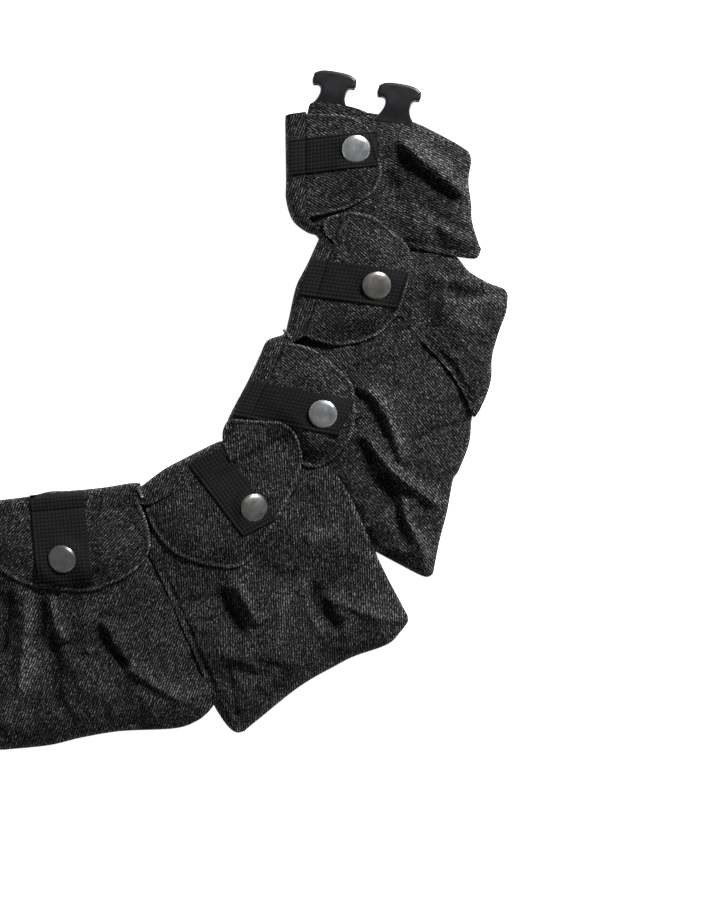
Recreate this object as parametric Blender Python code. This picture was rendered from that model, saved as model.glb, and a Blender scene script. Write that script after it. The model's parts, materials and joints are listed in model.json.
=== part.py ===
"""Tool belt: nine flapped denim pockets in a row on one waistband, laid flat in a horseshoe.

Frame: metres, +Z up off the table, +X along the belt at its middle pocket, +Y from that pocket towards
the open side of the horseshoe. The origin is on the table, under the middle of the waistband at the middle
pocket, 5 mm above that pocket's hinge line. Lengths below are in millimetres until they reach Blender.

Pocket 1 is at the end with the buckle sockets and pocket 9 at the end with the plugs. Pockets 6 to 9 lie
as the mirror image of pockets 4 to 1. Each pocket has a frame of its own, as if it hung on a wall: x to
its right, y up to the waist, z off the table, with its origin at the middle of its flap's hinge line.
"""

import math
from collections import namedtuple

import bmesh
import bpy
from mathutils import Matrix, Vector

MM = 0.001
GAP = 0.3  # between faces that touch on the real belt

# Waistband: a folded denim strip that the hinge lines run along.
BAND_WIDTH = 10.0  # from the hinge lines to the inner edge
BAND_HEIGHT = 8.0

# Bag: the pouch of one pocket, empty and slightly puffed up.
BAG_START = 0.7  # below the hinge line
BAG_INSET = 0.5  # from the line between two neighbours
CLOTH = 1.8
BACK = 2.0  # thickness of the back panel on the table
RIM_HEIGHT = 4.0  # where the side seam lies
RIM_STEP = 0.6
BAG_HEIGHT = 13.0
CROWN_RISE = 1.6
LEVEL_SHARE = 0.84  # of the outline, where the front panel levels out
CROWN_SHARE = 0.45
HOLLOW_SHARE = 0.95
HOLLOW_LEVEL_SHARE = 0.79
MOUTH_DEPTH = 15.0  # from the hinge line down to the hem of the front panel
CORNER_CUT = 0.22  # of each side, off a bag's corners
REACH = 70.0  # past any edge of a bag's top

# Flap: hinged above the waistband and resting on the bag.
HINGE_HEIGHT = 10.5
FLAP_PITCH = math.radians(12)
FLAP_CLOTH = 2.0
FLAP_START = 0.5
FLAP_ROUND = 22.0  # depth of the flap's round end
FLAP_ARC_STEPS = 10
FLAP_LEAN = 0.4  # of its strap's lean
STRAP_CLOTH = 1.4
STRAP_START = 2.0
STRAP_INSET = 3.0  # from the strap's end to the flap's edge
STUD_ROOM = 3.2  # between the flap's underside and the bag

# Snap fastener. Heights are measured along its axis from the flap's underside.
CAP_RADIUS = 7.5
CAP_DOME = ((0, 2.0), (4.2, 1.8), (6.5, 1.2), (CAP_RADIUS, 0.4))  # (radius, height) above its seat
POST_RADIUS = 2.2
POST_HOLE = 2.6
SOCKET_RADIUS = 4.8
SOCKET_BORE = 3.0
SOCKET_RIM = -2.0
KNOB_RADIUS = 1.8
ROUND_STEPS = 16

# Side-release buckles for 16 mm webbing, and their webbing. y runs towards the mouth of the socket.
WEBBING_WIDTH = 15.5
WEBBING_CLOTH = 1.4
BAR = 2.4
BAR_Y = -9.7
SLOT_END = -5.8
SLOT_HALF = 8.0
SOCKET_END = 11.0
SOCKET_THICKNESS = 8.0
BASE_THICKNESS = 5.2  # of a socket behind its channel
BASE_START = -7.0
CHANNEL_HALF = 8.6
CHANNEL_START = -1.5
WINDOW_HALF = 7.4  # from the middle of a socket to the inside of its side windows
WINDOW_ENDS = (-1.0, 5.6)
PLUG_THICKNESS = 4.0
PLUG_ROOM = 0.5  # between a plug and its socket, on each face
PRONG_INSET = 0.1  # of a prong's faces from the plug's
CUT_ASIDE = 14.0  # past any edge of a buckle
CUT_ABOVE = 6.0
CUT_OVERLAP = 0.1
BUCKLE_LEVEL = 4.4  # height of the buckles' middle plane
BUCKLE_TURN = 10.0
SOCKET_TAB = 3.9  # webbing from a socket's bar to the bag
PLUG_STRAP = 84.0  # webbing from the bag to a plug's bar
PLUG_TAIL = 46.0
PRONG_ROOT = (6.6, 1.0)
LOOP_ARC_STEPS = 6

# Outlines: right half of a socket with its round-ended head, waist and flared base, right half of a
# plug's base and tongue, and a right prong from its root.
SOCKET_EDGE = (
    (4.5, 10.8), (9.5, 9.8), (11.5, 8.4), (11.5, 3.2), (8.1, -0.4),
    (7.2, -1.8), (7.0, -3.2), (8.2, -5.4), (10.0, -8.0), (10.6, -11.0),
)
PLUG_EDGE = ((1.9, 13.5), (1.9, 0.4), (11, 0.4), (11, -11))
PRONG_EDGE = ((-1.2, 0), (1.4, 0), (1.2, 5), (3.6, 8), (1.8, 12.6), (-0.6, 13.6), (-1.0, 5))

# place: middle of the hinge line on the table. turn: degrees from hanging straight down.
# band, bag: ends of the pocket's stretch of waistband and of its bag's top, along the hinge line.
# flap: left, right, length. strap: offset, lean, half width. snap: distance below the hinge line.
Pocket = namedtuple("Pocket", "place turn band bag flap strap snap")
POCKETS = (
    Pocket((129, 178), 90, (-27, 27), (-29, 25), (-29, 21.5, 41), (4.5, 0.1, 9), 28.5),
    Pocket((136, 112), 72, (-26, 24), (-26, 24), (-26, 27, 46), (6.5, 0.14, 10), 30.5),
    Pocket((106, 57), 65, (-29, 26), (-18, 26), (-12, 26, 50), (-3.5, 0.19, 8.5), 36),
    Pocket((82, 16), 27, (-40, 8), (-39, 40), (-38, 34, 45), (0.5, 0.3, 11), 28.5),
    Pocket((0, -5), 5, (-40, 40), (-39, 39), (-40, 40, 42), (-2, 0.02, 14), 27.5),
)
POCKET_COUNT = 2 * len(POCKETS) - 1

# Side seams of pockets 1 to 5 on the table, from the waist outwards: the free one, then one that each
# two neighbours share. Then the hem of each pocket, from its far side to the side of the middle pocket.
SIDES = (
    ((154, 201), (192, 193)),
    ((150, 138), (210, 130)),
    ((150, 79), (183, 83), (198, 76)),
    ((126, 33), (144, 15), (154, 3), (167, -29)),
    ((46, -28), (60, -63), (79, -107)),
)
HEMS = (
    ((215, 184), (218, 160), (222, 133)),
    ((225, 116), (236, 109), (233, 90), (218, 44)),
    ((215, 41), (216, 26), (202, -12), (197, -40)),
    ((183, -64), (175, -75), (137, -94), (94, -122)),
    ((52, -118), (12, -126), (-33, -133), (-73, -130)),
)

# Middle of each buckle socket on the table. The plugs' webbing starts at the mirror image of these.
SOCKET_PLACES = {"upper": (143.5, 217), "lower": (178, 210.5)}

MATERIALS = {
    "denim": ((0.024, 0.024, 0.026), 0.9, 0.0),
    "webbing": ((0.011, 0.011, 0.013), 0.85, 0.0),
    "snap_metal": ((0.42, 0.43, 0.44), 0.32, 1.0),
    "buckle_plastic": ((0.02, 0.021, 0.024), 0.45, 0.0),
}


def clear_scene():
    for obj in list(bpy.data.objects):
        bpy.data.objects.remove(obj)


def make_materials():
    made = {}
    for name, (colour, roughness, metallic) in MATERIALS.items():
        material = bpy.data.materials.new(name)
        material.use_nodes = True
        shader = material.node_tree.nodes["Principled BSDF"]
        shader.inputs["Base Color"].default_value = (*colour, 1.0)
        shader.inputs["Roughness"].default_value = roughness
        shader.inputs["Metallic"].default_value = metallic
        made[name] = material
    return made


def empty_at(name, matrix, parent=None):
    empty = bpy.data.objects.new(name, None)
    bpy.context.scene.collection.objects.link(empty)
    empty.parent = parent
    empty.matrix_local = matrix
    return empty


def object_from(name, shape, material=None, parent=None):
    """A new object from a bmesh drawn in millimetres."""
    bmesh.ops.recalc_face_normals(shape, faces=shape.faces)
    bmesh.ops.scale(shape, vec=(MM, MM, MM), verts=shape.verts)
    mesh = bpy.data.meshes.new(name)
    shape.to_mesh(mesh)
    shape.free()
    if material:
        mesh.materials.append(material)
    obj = bpy.data.objects.new(name, mesh)
    bpy.context.scene.collection.objects.link(obj)
    obj.parent = parent
    return obj


def smooth(obj):
    obj.data.shade_smooth()
    obj.data.set_sharp_from_angle(angle=math.radians(35))


def circle(centre, radius, steps=ROUND_STEPS):
    angles = [2 * math.pi * step / steps for step in range(steps)]
    return [(centre[0] + radius * math.cos(a), centre[1] + radius * math.sin(a)) for a in angles]


def slab(outline, bottom, top, hole=None):
    """A flat outline between two heights, with an optional round hole (centre, radius)."""
    shape = bmesh.new()
    edges = []
    for loop in (outline, circle(*hole)) if hole else (outline,):
        verts = [shape.verts.new((x, y, bottom)) for x, y in loop]
        edges += [shape.edges.new(pair) for pair in zip(verts, verts[1:] + verts[:1])]
    bmesh.ops.triangle_fill(shape, edges=edges, use_beauty=True)
    extruded = bmesh.ops.extrude_face_region(shape, geom=list(shape.faces))
    raised = [part for part in extruded["geom"] if isinstance(part, bmesh.types.BMVert)]
    bmesh.ops.translate(shape, verts=raised, vec=(0, 0, top - bottom))
    return shape


def turned(profile):
    """A profile of (radius, height) points turned about Z. Both of its ends lie on the axis."""
    shape = bmesh.new()
    verts = [shape.verts.new((radius, 0, height)) for radius, height in profile]
    edges = [shape.edges.new(pair) for pair in zip(verts, verts[1:])]
    turn = {"cent": (0, 0, 0), "axis": (0, 0, 1), "angle": 2 * math.pi, "steps": ROUND_STEPS}
    bmesh.ops.spin(shape, geom=verts + edges, **turn)
    bmesh.ops.remove_doubles(shape, verts=shape.verts, dist=0.01)
    return shape


def box(low, high):
    shape = bmesh.new()
    bmesh.ops.create_cube(shape, size=1.0)
    bmesh.ops.scale(shape, vec=Vector(high) - Vector(low), verts=shape.verts)
    bmesh.ops.translate(shape, vec=(Vector(high) + Vector(low)) / 2, verts=shape.verts)
    return shape


def cut(obj, cutter):
    """Takes a helper object's shape out of an object."""
    cutter.hide_render = True
    cutter.display_type = "WIRE"
    modifier = obj.modifiers.new(cutter.name, "BOOLEAN")
    modifier.operation = "DIFFERENCE"
    modifier.object = cutter


def lofted(rings):
    """A closed shape through rings of points, with a flat bottom and a top fanned from its middle."""
    shape = bmesh.new()
    layers = [[shape.verts.new(point) for point in ring] for ring in rings]
    for low, high in zip(layers, layers[1:]):
        for i in range(len(low)):
            j = (i + 1) % len(low)
            shape.faces.new((low[i], low[j], high[j], high[i]))
    bottom, top = layers[0], layers[-1]
    shape.faces.new(bottom)
    middle = shape.verts.new(sum((vert.co for vert in top), Vector()) / len(top))
    for i in range(len(top)):
        shape.faces.new((top[i], top[(i + 1) % len(top)], middle))
    bmesh.ops.triangulate(shape, faces=shape.faces)
    return shape


def inset(outline, distance):
    """A clockwise outline moved inwards, side by side."""
    moved = []
    for i, corner in enumerate(outline):
        before = (corner - outline[i - 1]).normalized()
        after = (outline[(i + 1) % len(outline)] - corner).normalized()
        inwards = [Vector((way.y, -way.x)) for way in (before, after)]
        middle = (inwards[0] + inwards[1]).normalized()
        moved.append(corner + middle * distance / middle.dot(inwards[0]))
    return moved


def rounded(outline):
    """A clockwise outline with its outward corners cut back along both of their sides."""
    points = []
    for i, corner in enumerate(outline):
        before = outline[i - 1]
        after = outline[(i + 1) % len(outline)]
        if (corner - before).cross(after - corner) < 0:
            points += [corner.lerp(before, CORNER_CUT), corner.lerp(after, CORNER_CUT)]
        else:
            points.append(corner)
    return points


def ring_of(outline, share, height_at):
    """The outline drawn towards its centre, with each point lifted to height_at(point)."""
    centre = sum(outline, Vector((0, 0))) / len(outline)
    points = [centre + (point - centre) * share for point in outline]
    return [(*point, height_at(point)) for point in points]


def mirrored(pocket):
    left, right, length = pocket.flap
    offset, lean, half = pocket.strap
    return pocket._replace(
        place=(-pocket.place[0], pocket.place[1]),
        turn=-pocket.turn,
        band=(-pocket.band[1], -pocket.band[0]),
        bag=(-pocket.bag[1], -pocket.bag[0]),
        flap=(-right, -left, length),
        strap=(-offset, -lean, half),
    )


def pocket_of(number):
    if number <= len(POCKETS):
        return POCKETS[number - 1]
    return mirrored(POCKETS[POCKET_COUNT - number])


def frame_of(pocket, height=0.0, pitch=0.0):
    """A pocket's frame at a height, tilted so that it rises away from the hinge line."""
    place = Matrix.Translation(Vector((*pocket.place, height)) * MM)
    turn = Matrix.Rotation(math.radians(pocket.turn), 4, "Z")
    return place @ turn @ Matrix.Rotation(-pitch, 4, "X")


def on_table(pocket, x, y):
    """A point of a pocket's frame on the table, in millimetres."""
    turn = Matrix.Rotation(math.radians(pocket.turn), 2)
    return Vector(pocket.place) + turn @ Vector((x, y))


def bag_outline(number):
    """The bag's outline on the table, clockwise from the end of its top at the belt's far end."""
    if number > len(POCKETS):
        twin = bag_outline(POCKET_COUNT + 1 - number)
        return [Vector((-point.x, point.y)) for point in reversed(twin)]
    pocket = POCKETS[number - 1]
    far = [Vector(point) for point in SIDES[number - 1]]
    near = [Vector(point) for point in SIDES[number % len(SIDES)]]
    if number == len(POCKETS):
        near = [Vector((-point.x, point.y)) for point in far]
    hem = [Vector(point) for point in HEMS[number - 1]]
    ends = [on_table(pocket, x, -BAG_START) for x in reversed(pocket.bag)]
    return rounded(inset([ends[0], *far, *hem, *reversed(near), ends[1]], BAG_INSET))


def build_bag(number, material):
    """The pouch: back panel, side seam and puffed front panel, open to the waist below the flap."""
    pocket = pocket_of(number)
    outline = bag_outline(number)
    to_pocket = frame_of(pocket).inverted()
    lowest = RIM_HEIGHT + CLOTH + RIM_STEP

    def front(lowered, crown=0.0):
        def height(point):
            below = -(to_pocket @ Vector((point.x * MM, point.y * MM, 0))).y / MM
            under_flap = HINGE_HEIGHT - STUD_ROOM / math.cos(FLAP_PITCH) + math.tan(FLAP_PITCH) * below
            return max(min(under_flap, BAG_HEIGHT + crown), lowest) - lowered

        return height

    outer = (
        (1.0, lambda point: 0.0),
        (1.0, lambda point: RIM_HEIGHT),
        (LEVEL_SHARE, front(0.0)),
        (CROWN_SHARE, front(0.0, CROWN_RISE)),
    )
    inner = (
        (HOLLOW_SHARE, lambda point: BACK),
        (HOLLOW_SHARE, lambda point: RIM_HEIGHT - RIM_STEP),
        (HOLLOW_LEVEL_SHARE, front(CLOTH)),
        (CROWN_SHARE, front(CLOTH, CROWN_RISE)),
    )
    name = f"pocket_{number}_bag"
    bag = object_from(name, lofted([ring_of(outline, *ring) for ring in outer]), material)
    hollow = lofted([ring_of(outline, *ring) for ring in inner])
    cut(bag, object_from(name + "_hollow", hollow))
    mouth = box((-REACH, -MOUTH_DEPTH, BACK + GAP), (REACH, REACH, REACH))
    mouth = object_from(name + "_mouth", mouth)
    mouth.matrix_world = frame_of(pocket)
    cut(bag, mouth)


def flap_outline(left, right, length, lean):
    """A flap with straight sides, a round end and a sideways lean, from just off its hinge line."""
    straight = length - FLAP_ROUND
    middle = (left + right) / 2
    half = (right - left) / 2
    arc = [math.pi * step / FLAP_ARC_STEPS for step in range(FLAP_ARC_STEPS + 1)]
    end = [(middle - half * math.cos(a), -straight - FLAP_ROUND * math.sin(a)) for a in arc]
    points = [(left, -FLAP_START), *end, (right, -FLAP_START)]
    return [(x - lean * y, y) for x, y in points]


def build_flap(number, materials, frame):
    pocket = pocket_of(number)
    offset, lean, half = pocket.strap
    hole = ((offset + lean * pocket.snap, -pocket.snap), POST_HOLE)
    outline = flap_outline(*pocket.flap, lean * FLAP_LEAN)
    flap = slab(outline, 0.0, FLAP_CLOTH, hole)
    object_from(f"pocket_{number}_flap", flap, materials["denim"], frame)
    end = pocket.flap[2] - STRAP_INSET
    corners = ((-half, STRAP_START), (half, STRAP_START), (half, end), (-half, end))
    outline = [(offset + across + lean * down, -down) for across, down in corners]
    bottom = FLAP_CLOTH + GAP
    strap = slab(outline, bottom, bottom + STRAP_CLOTH, hole)
    object_from(f"pocket_{number}_flap_strap", strap, materials["webbing"], frame)


def build_snap(number, material, frame):
    """The cap riveted through strap and flap with its socket below, and the stud on the bag."""
    pocket = pocket_of(number)
    offset, lean, _ = pocket.strap
    place = Vector((offset + lean * pocket.snap, -pocket.snap, 0)) * MM
    seat = FLAP_CLOTH + STRAP_CLOTH + 2 * GAP
    plate = -2 * GAP
    cap = [
        *((radius, seat + height) for radius, height in CAP_DOME),
        (CAP_RADIUS, seat), (POST_RADIUS, seat), (POST_RADIUS, -GAP), (SOCKET_RADIUS, -GAP),
        (SOCKET_RADIUS, SOCKET_RIM), (SOCKET_BORE, SOCKET_RIM), (SOCKET_BORE, plate), (0, plate),
    ]
    base = -STUD_ROOM + GAP
    stud = [
        (0, plate - GAP), (KNOB_RADIUS, plate - GAP), (KNOB_RADIUS, SOCKET_RIM - GAP),
        (SOCKET_RADIUS, SOCKET_RIM - GAP), (SOCKET_RADIUS, base), (0, base),
    ]
    for name, profile in (("snap_cap", cap), ("snap_stud", stud)):
        made = object_from(f"pocket_{number}_{name}", turned(profile), material, frame)
        made.location = place
        smooth(made)


def build_waistband(material):
    """One strip along the pockets' hinge lines, folded between them."""
    edges = []
    for y in (BAND_WIDTH, 0.0):
        edge = []
        for number in range(1, POCKET_COUNT + 1):
            pocket = pocket_of(number)
            edge += [on_table(pocket, x, y) for x in reversed(pocket.band)]
        edges.append(edge)
    inner, outer = edges
    strip = slab(inner + outer[::-1], 0.0, BAND_HEIGHT)
    object_from("waistband", strip, material)


def both_halves(edge):
    """An outline from its right half, listed downwards."""
    return [*edge, *((-x, y) for x, y in reversed(edge))]


def cut_bar(obj, name, frame):
    """Leaves a square bar across the base of a buckle half, for its webbing."""
    inner = BAR / 2
    end = SLOT_END - CUT_OVERLAP
    slot = box((-SLOT_HALF, BAR_Y + inner, -CUT_ABOVE), (SLOT_HALF, SLOT_END, CUT_ABOVE))
    above = box((-SLOT_HALF, -CUT_ASIDE, inner), (SLOT_HALF, end, CUT_ABOVE))
    below = box((-SLOT_HALF, -CUT_ASIDE, -CUT_ABOVE), (SLOT_HALF, end, -inner))
    for what, cutter in (("slot", slot), ("above_bar", above), ("below_bar", below)):
        cut(obj, object_from(f"{name}_{what}", cutter, None, frame))


def build_socket(name, material, frame):
    """Female half of a buckle: a flat shell, open at its mouth and at both sides."""
    half = SOCKET_THICKNESS / 2
    base = BASE_THICKNESS / 2
    room = PLUG_THICKNESS / 2 + PLUG_ROOM
    low, high = WINDOW_ENDS
    outline = [(0, SOCKET_END), *both_halves(SOCKET_EDGE)]
    body = object_from(name, slab(outline, -half, half), material, frame)
    cutters = {
        "channel": box((-CHANNEL_HALF, CHANNEL_START, -room), (CHANNEL_HALF, CUT_ASIDE, room)),
        "left_window": box((-CUT_ASIDE, low, -room), (-WINDOW_HALF, high, room)),
        "right_window": box((WINDOW_HALF, low, -room), (CUT_ASIDE, high, room)),
        "base_top": box((-CUT_ASIDE, -CUT_ASIDE, base), (CUT_ASIDE, BASE_START, CUT_ABOVE)),
        "base_bottom": box((-CUT_ASIDE, -CUT_ASIDE, -CUT_ABOVE), (CUT_ASIDE, BASE_START, -base)),
    }
    for what, cutter in cutters.items():
        cut(body, object_from(f"{name}_{what}", cutter, None, frame))
    cut_bar(body, name, frame)


def build_plug(name, material, frame):
    """Male half of a buckle: a base with a guide tongue, and two sprung prongs."""
    half = PLUG_THICKNESS / 2
    plug = object_from(name, slab(both_halves(PLUG_EDGE), -half, half), material, frame)
    cut_bar(plug, name, frame)
    root_x, root_y = PRONG_ROOT
    for side, way in (("left", -1), ("right", 1)):
        root = empty_at(f"{name}_{side}_root", Matrix.Translation((way * root_x * MM, root_y * MM, 0)), frame)
        arm = slab([(way * x, y) for x, y in PRONG_EDGE], PRONG_INSET - half, half - PRONG_INSET)
        object_from(f"{name}_{side}_prong", arm, material, root)


def build_loop(name, reach, tail, material, frame):
    """Webbing folded round a buckle bar. Its lower run is reach long and its upper run tail."""
    inner = BAR / 2 * math.sqrt(2) + GAP
    outer = inner + WEBBING_CLOTH
    arc = [math.pi * (0.5 - step / LOOP_ARC_STEPS) for step in range(LOOP_ARC_STEPS + 1)]
    around = [(outer * math.cos(a), outer * math.sin(a)) for a in arc]
    inside = [(inner * math.cos(a), inner * math.sin(a)) for a in reversed(arc)]
    profile = [(-tail, outer), *around, (-reach, -outer), (-reach, -inner), *inside, (-tail, inner)]
    half = WEBBING_WIDTH / 2
    loop = slab(profile, -half, half)
    on_edge = Matrix(((0, 0, 1, 0), (1, 0, 0, 0), (0, 1, 0, 0), (0, 0, 0, 1)))
    bmesh.ops.transform(loop, matrix=on_edge, verts=loop.verts)
    object_from(name, loop, material, frame)


def bar_frame(place, turn):
    """Frame of a buckle's bar, with y along its webbing's way out of the belt."""
    turn = Matrix.Rotation(math.radians(turn), 4, "Z")
    return Matrix.Translation(Vector((*place, BUCKLE_LEVEL)) * MM) @ turn @ along(BAR_Y)


def along(distance):
    return Matrix.Translation((0, distance * MM, 0))


def main():
    clear_scene()
    materials = make_materials()
    build_waistband(materials["denim"])
    for number in range(1, POCKET_COUNT + 1):
        frame = empty_at(f"pocket_{number}_hinge", frame_of(pocket_of(number), HINGE_HEIGHT, FLAP_PITCH))
        build_bag(number, materials["denim"])
        build_flap(number, materials, frame)
        build_snap(number, materials["snap_metal"], frame)
    for position, place in SOCKET_PLACES.items():
        bar = empty_at(f"socket_{position}_bar", bar_frame(place, -BUCKLE_TURN))
        build_loop(f"socket_tab_{position}", SOCKET_TAB, SOCKET_TAB, materials["webbing"], bar)
        body = empty_at(f"socket_{position}_body", along(-BAR_Y), bar)
        build_socket(f"buckle_socket_{position}", materials["buckle_plastic"], body)
        start = bar_frame((-place[0], place[1]), BUCKLE_TURN)
        bar = empty_at(f"plug_{position}_bar", start @ along(PLUG_STRAP - SOCKET_TAB))
        build_loop(f"plug_strap_{position}", PLUG_STRAP, PLUG_TAIL, materials["webbing"], bar)
        body = empty_at(f"plug_{position}_body", along(-BAR_Y), bar)
        build_plug(f"buckle_plug_{position}", materials["buckle_plastic"], body)


main()
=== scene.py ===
"""Looks of the denim tool belt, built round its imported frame.

Shapes are drawn in millimetres, in the belt's own frame: x along the belt at its middle pocket, y towards
the open side of the horseshoe, z off the table. Pockets 1 to 5 are drawn, and pockets 6 to 9 are the
mirror image of pockets 4 to 1.
"""

import json
import math
from collections import namedtuple

import bmesh
import bpy
import numpy as np
from mathutils import Matrix, Vector, noise
from mathutils.bvhtree import BVHTree
from mathutils.geometry import delaunay_2d_cdt


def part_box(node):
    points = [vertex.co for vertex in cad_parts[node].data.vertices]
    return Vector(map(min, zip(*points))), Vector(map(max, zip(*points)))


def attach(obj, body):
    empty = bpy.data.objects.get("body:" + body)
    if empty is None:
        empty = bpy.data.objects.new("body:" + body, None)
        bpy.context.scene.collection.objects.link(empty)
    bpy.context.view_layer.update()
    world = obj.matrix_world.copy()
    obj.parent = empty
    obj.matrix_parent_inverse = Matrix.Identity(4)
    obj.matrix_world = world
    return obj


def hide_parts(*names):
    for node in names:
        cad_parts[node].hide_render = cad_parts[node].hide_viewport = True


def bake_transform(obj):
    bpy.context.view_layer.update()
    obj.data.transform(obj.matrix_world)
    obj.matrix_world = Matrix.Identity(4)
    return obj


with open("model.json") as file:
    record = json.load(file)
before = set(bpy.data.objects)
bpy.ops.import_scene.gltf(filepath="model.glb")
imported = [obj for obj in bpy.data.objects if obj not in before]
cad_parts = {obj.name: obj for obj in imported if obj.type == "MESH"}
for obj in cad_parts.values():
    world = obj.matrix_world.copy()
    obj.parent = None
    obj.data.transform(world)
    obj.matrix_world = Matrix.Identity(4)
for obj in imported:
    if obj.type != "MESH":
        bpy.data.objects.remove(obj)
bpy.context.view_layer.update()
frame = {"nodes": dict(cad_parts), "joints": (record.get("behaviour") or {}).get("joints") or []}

MM = 0.001
POCKET_COUNT = 9
DRAWN = 5  # pockets with shapes of their own

# Pockets. Distances below the hinge line are measured in a pocket's own plane.
FLAP_PITCH = math.radians(12)
FLAP_CLOTH = 2.0
SEAM_CLOTH = 1.6  # two panels sewn together
BAG_CLOTH = 1.0
THINNEST_BAG = 0.9
CROWN = 13.0  # height of a bag away from its seams
STUD_ROOM = 4.2  # from the underside of a flap to the bag
TABLE_GAP = 0.5
BARE_GROUND = 2.0  # height that a flap rests on where there is no bag
CLOTH_GAP = 0.2  # between a flap and what it rests on
LOWEST_TOP = 2.2  # of a bag's front
LOWEST_COVERED = 3.5  # of a bag's front under its flap
MOUTH = 15.0  # from the hinge line to the hem of a bag's front
MOUTHS = {1: (-20, 16), 2: (-18, 18), 3: (-8, 20), 4: (-30, 28), 5: (-32, 32)}  # along the hinge line
SHOWN_START = 26.0  # below the hinge line, where a bag comes out from under its flap
SHOWN_WIDTH = 14.0
BAND_TOP = 12.3
STRAP_CLOTH = 1.4
STRAP_RISE = 9.0  # from the hinge line to the strap's end at the waist
FOLD_DEPTH = 1.6  # scale of all the folds' rises
BLEND_START = 1.0  # above the hinge line, where a flap's cloth starts to turn
BLEND_END = -9.0
OVERLAPPED = 3  # the pocket whose flap lies under the next one's corner

# Lines along an edge: distance in from the edge, and width.
BAG_CORD = (1.0, 0.8)
BAG_HEM = (3.4, 0.55)
FLAP_CORD = (1.0, 0.65)
FLAP_GROOVE = (2.5, 0.5)
BAND_SEAM = (3.2, 0.5)
STRAP_STITCH = (1.6, 0.45)

# Spacing of points, along outlines and inside them.
BAG_STEPS = (1.1, 1.15)
FLAP_STEPS = (0.8, 0.95)
FLAP_ROWS = (0.3, 0.75, 1.3)
BAND_STEPS = (0.9, 1.1)
BAND_ROWS = (0.4, 1.0)
STRAP_STEP = 0.5
BUCKLE_STEPS = (0.5, 0.7)
TONGUE_STEPS = (0.7, 0.8)

# Settling of the bags' fronts, as cloth drawn at a larger scale.
SETTLE_SCALE = 0.02
SETTLE_FRAMES = 16
SETTLE_REACH = 3.0
SLACK = 0.06  # share by which the cloth is too large
SEWN = 2.0  # width of the edge that is held
HELD_TOP = 23.0  # below the hinge line, down to which the front is held

# Twill, webbing and thread.
TWILL_PITCH = 1.25
TWIN_TWILL = -65.0  # degrees between the twill lines of a pocket and of its twin
ROPE_PITCH = 2.3  # of the twill's ridges over a corded edge
WAFFLE_PITCH = 2.0
DENIM_BRIGHTNESS = 0.82
TACKS = ((41.5, 4.0, 13.0, 110), (119.5, 88.0, 12.5, 130))  # place, height and direction in degrees
TACK_LENGTH = 5.0
TACK_THREADS = 6

# Snaps: material, colour and roughness of each one. Colours are painted light (1, 3) and painted shade (2, 4,
# 5) on one nickel.
SNAP_SEAT = 0.8  # of the cap above the cloth round it
USUAL_SEAT = 18.0  # height taken where there is no cloth below the cap's rim
SNAP_LOOKS = {
    1: ("snap_nickel_painted_light", (0.62, 0.65, 0.67), 0.34),
    2: ("snap_nickel_warm_painted_shade", (0.30, 0.29, 0.27), 0.36),
    3: ("snap_nickel", (0.50, 0.52, 0.53), 0.36),
    4: ("snap_nickel_painted_deep_shade", (0.26, 0.26, 0.25), 0.34),
    5: ("snap_nickel_painted_shade", (0.28, 0.28, 0.28), 0.32),
}

# Buckles, in a frame of their own: x along the bar, y towards the mouth. Cuts are boxes (low, high corner).
BAR_TO_MIDDLE = 9.7
SOCKET_HALF = 4.0
SOCKET_THINNED = 0.42  # share by which a socket is thinner at its base
PLUG_HALF = 2.0
PRONG_HALF = 1.9
PRONG_ROOT = (6.6, 1.0)
SOCKET_CUTS = (
    ((-8.4, -1.5, -2.4), (8.4, 14, 2.4)),
    ((-14, -1.2, -2.4), (-7.4, 5.4, 2.4)),
    ((7.4, -1.2, -2.4), (14, 5.4, 2.4)),
    ((-8, -8.5, -6), (8, -5.8, -1)),
)
PLUG_CUTS = (
    ((-8, -8.5, -6), (8, -5.8, 6)),
    ((-8, -14, 1.2), (8, -5.9, 6)),
    ((-8, -14, -6), (8, -5.9, -1.2)),
)
TONGUE_HALF = 7.6  # half width of the webbing under a socket's base
TONGUE_ENDS = (-14.0, -6.5)
TONGUE_LEVEL = -3.0
TONGUE_CLOTH = 1.2

# Camera and light, in metres where they are not marked otherwise.
VIEW_CENTRE = (158.0, 26.5)  # millimetres
VIEW_HEIGHT = 477.0  # millimetres of the belt that the picture's taller side takes in
CAMERA_HEIGHT = 1600.0  # millimetres
SENSOR = 36.0  # millimetres
FLOOR_SIZE = 8.0
FLOOR_GLOW = 0.85
SKY_LIGHT = 0.30
KEY_PLACE = (0.85, 1.1, 1.05)
KEY_TARGET = (0.08, 0.0, 0.0)
KEY_SIZE = 0.42
KEY_POWER = 54.0

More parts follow.
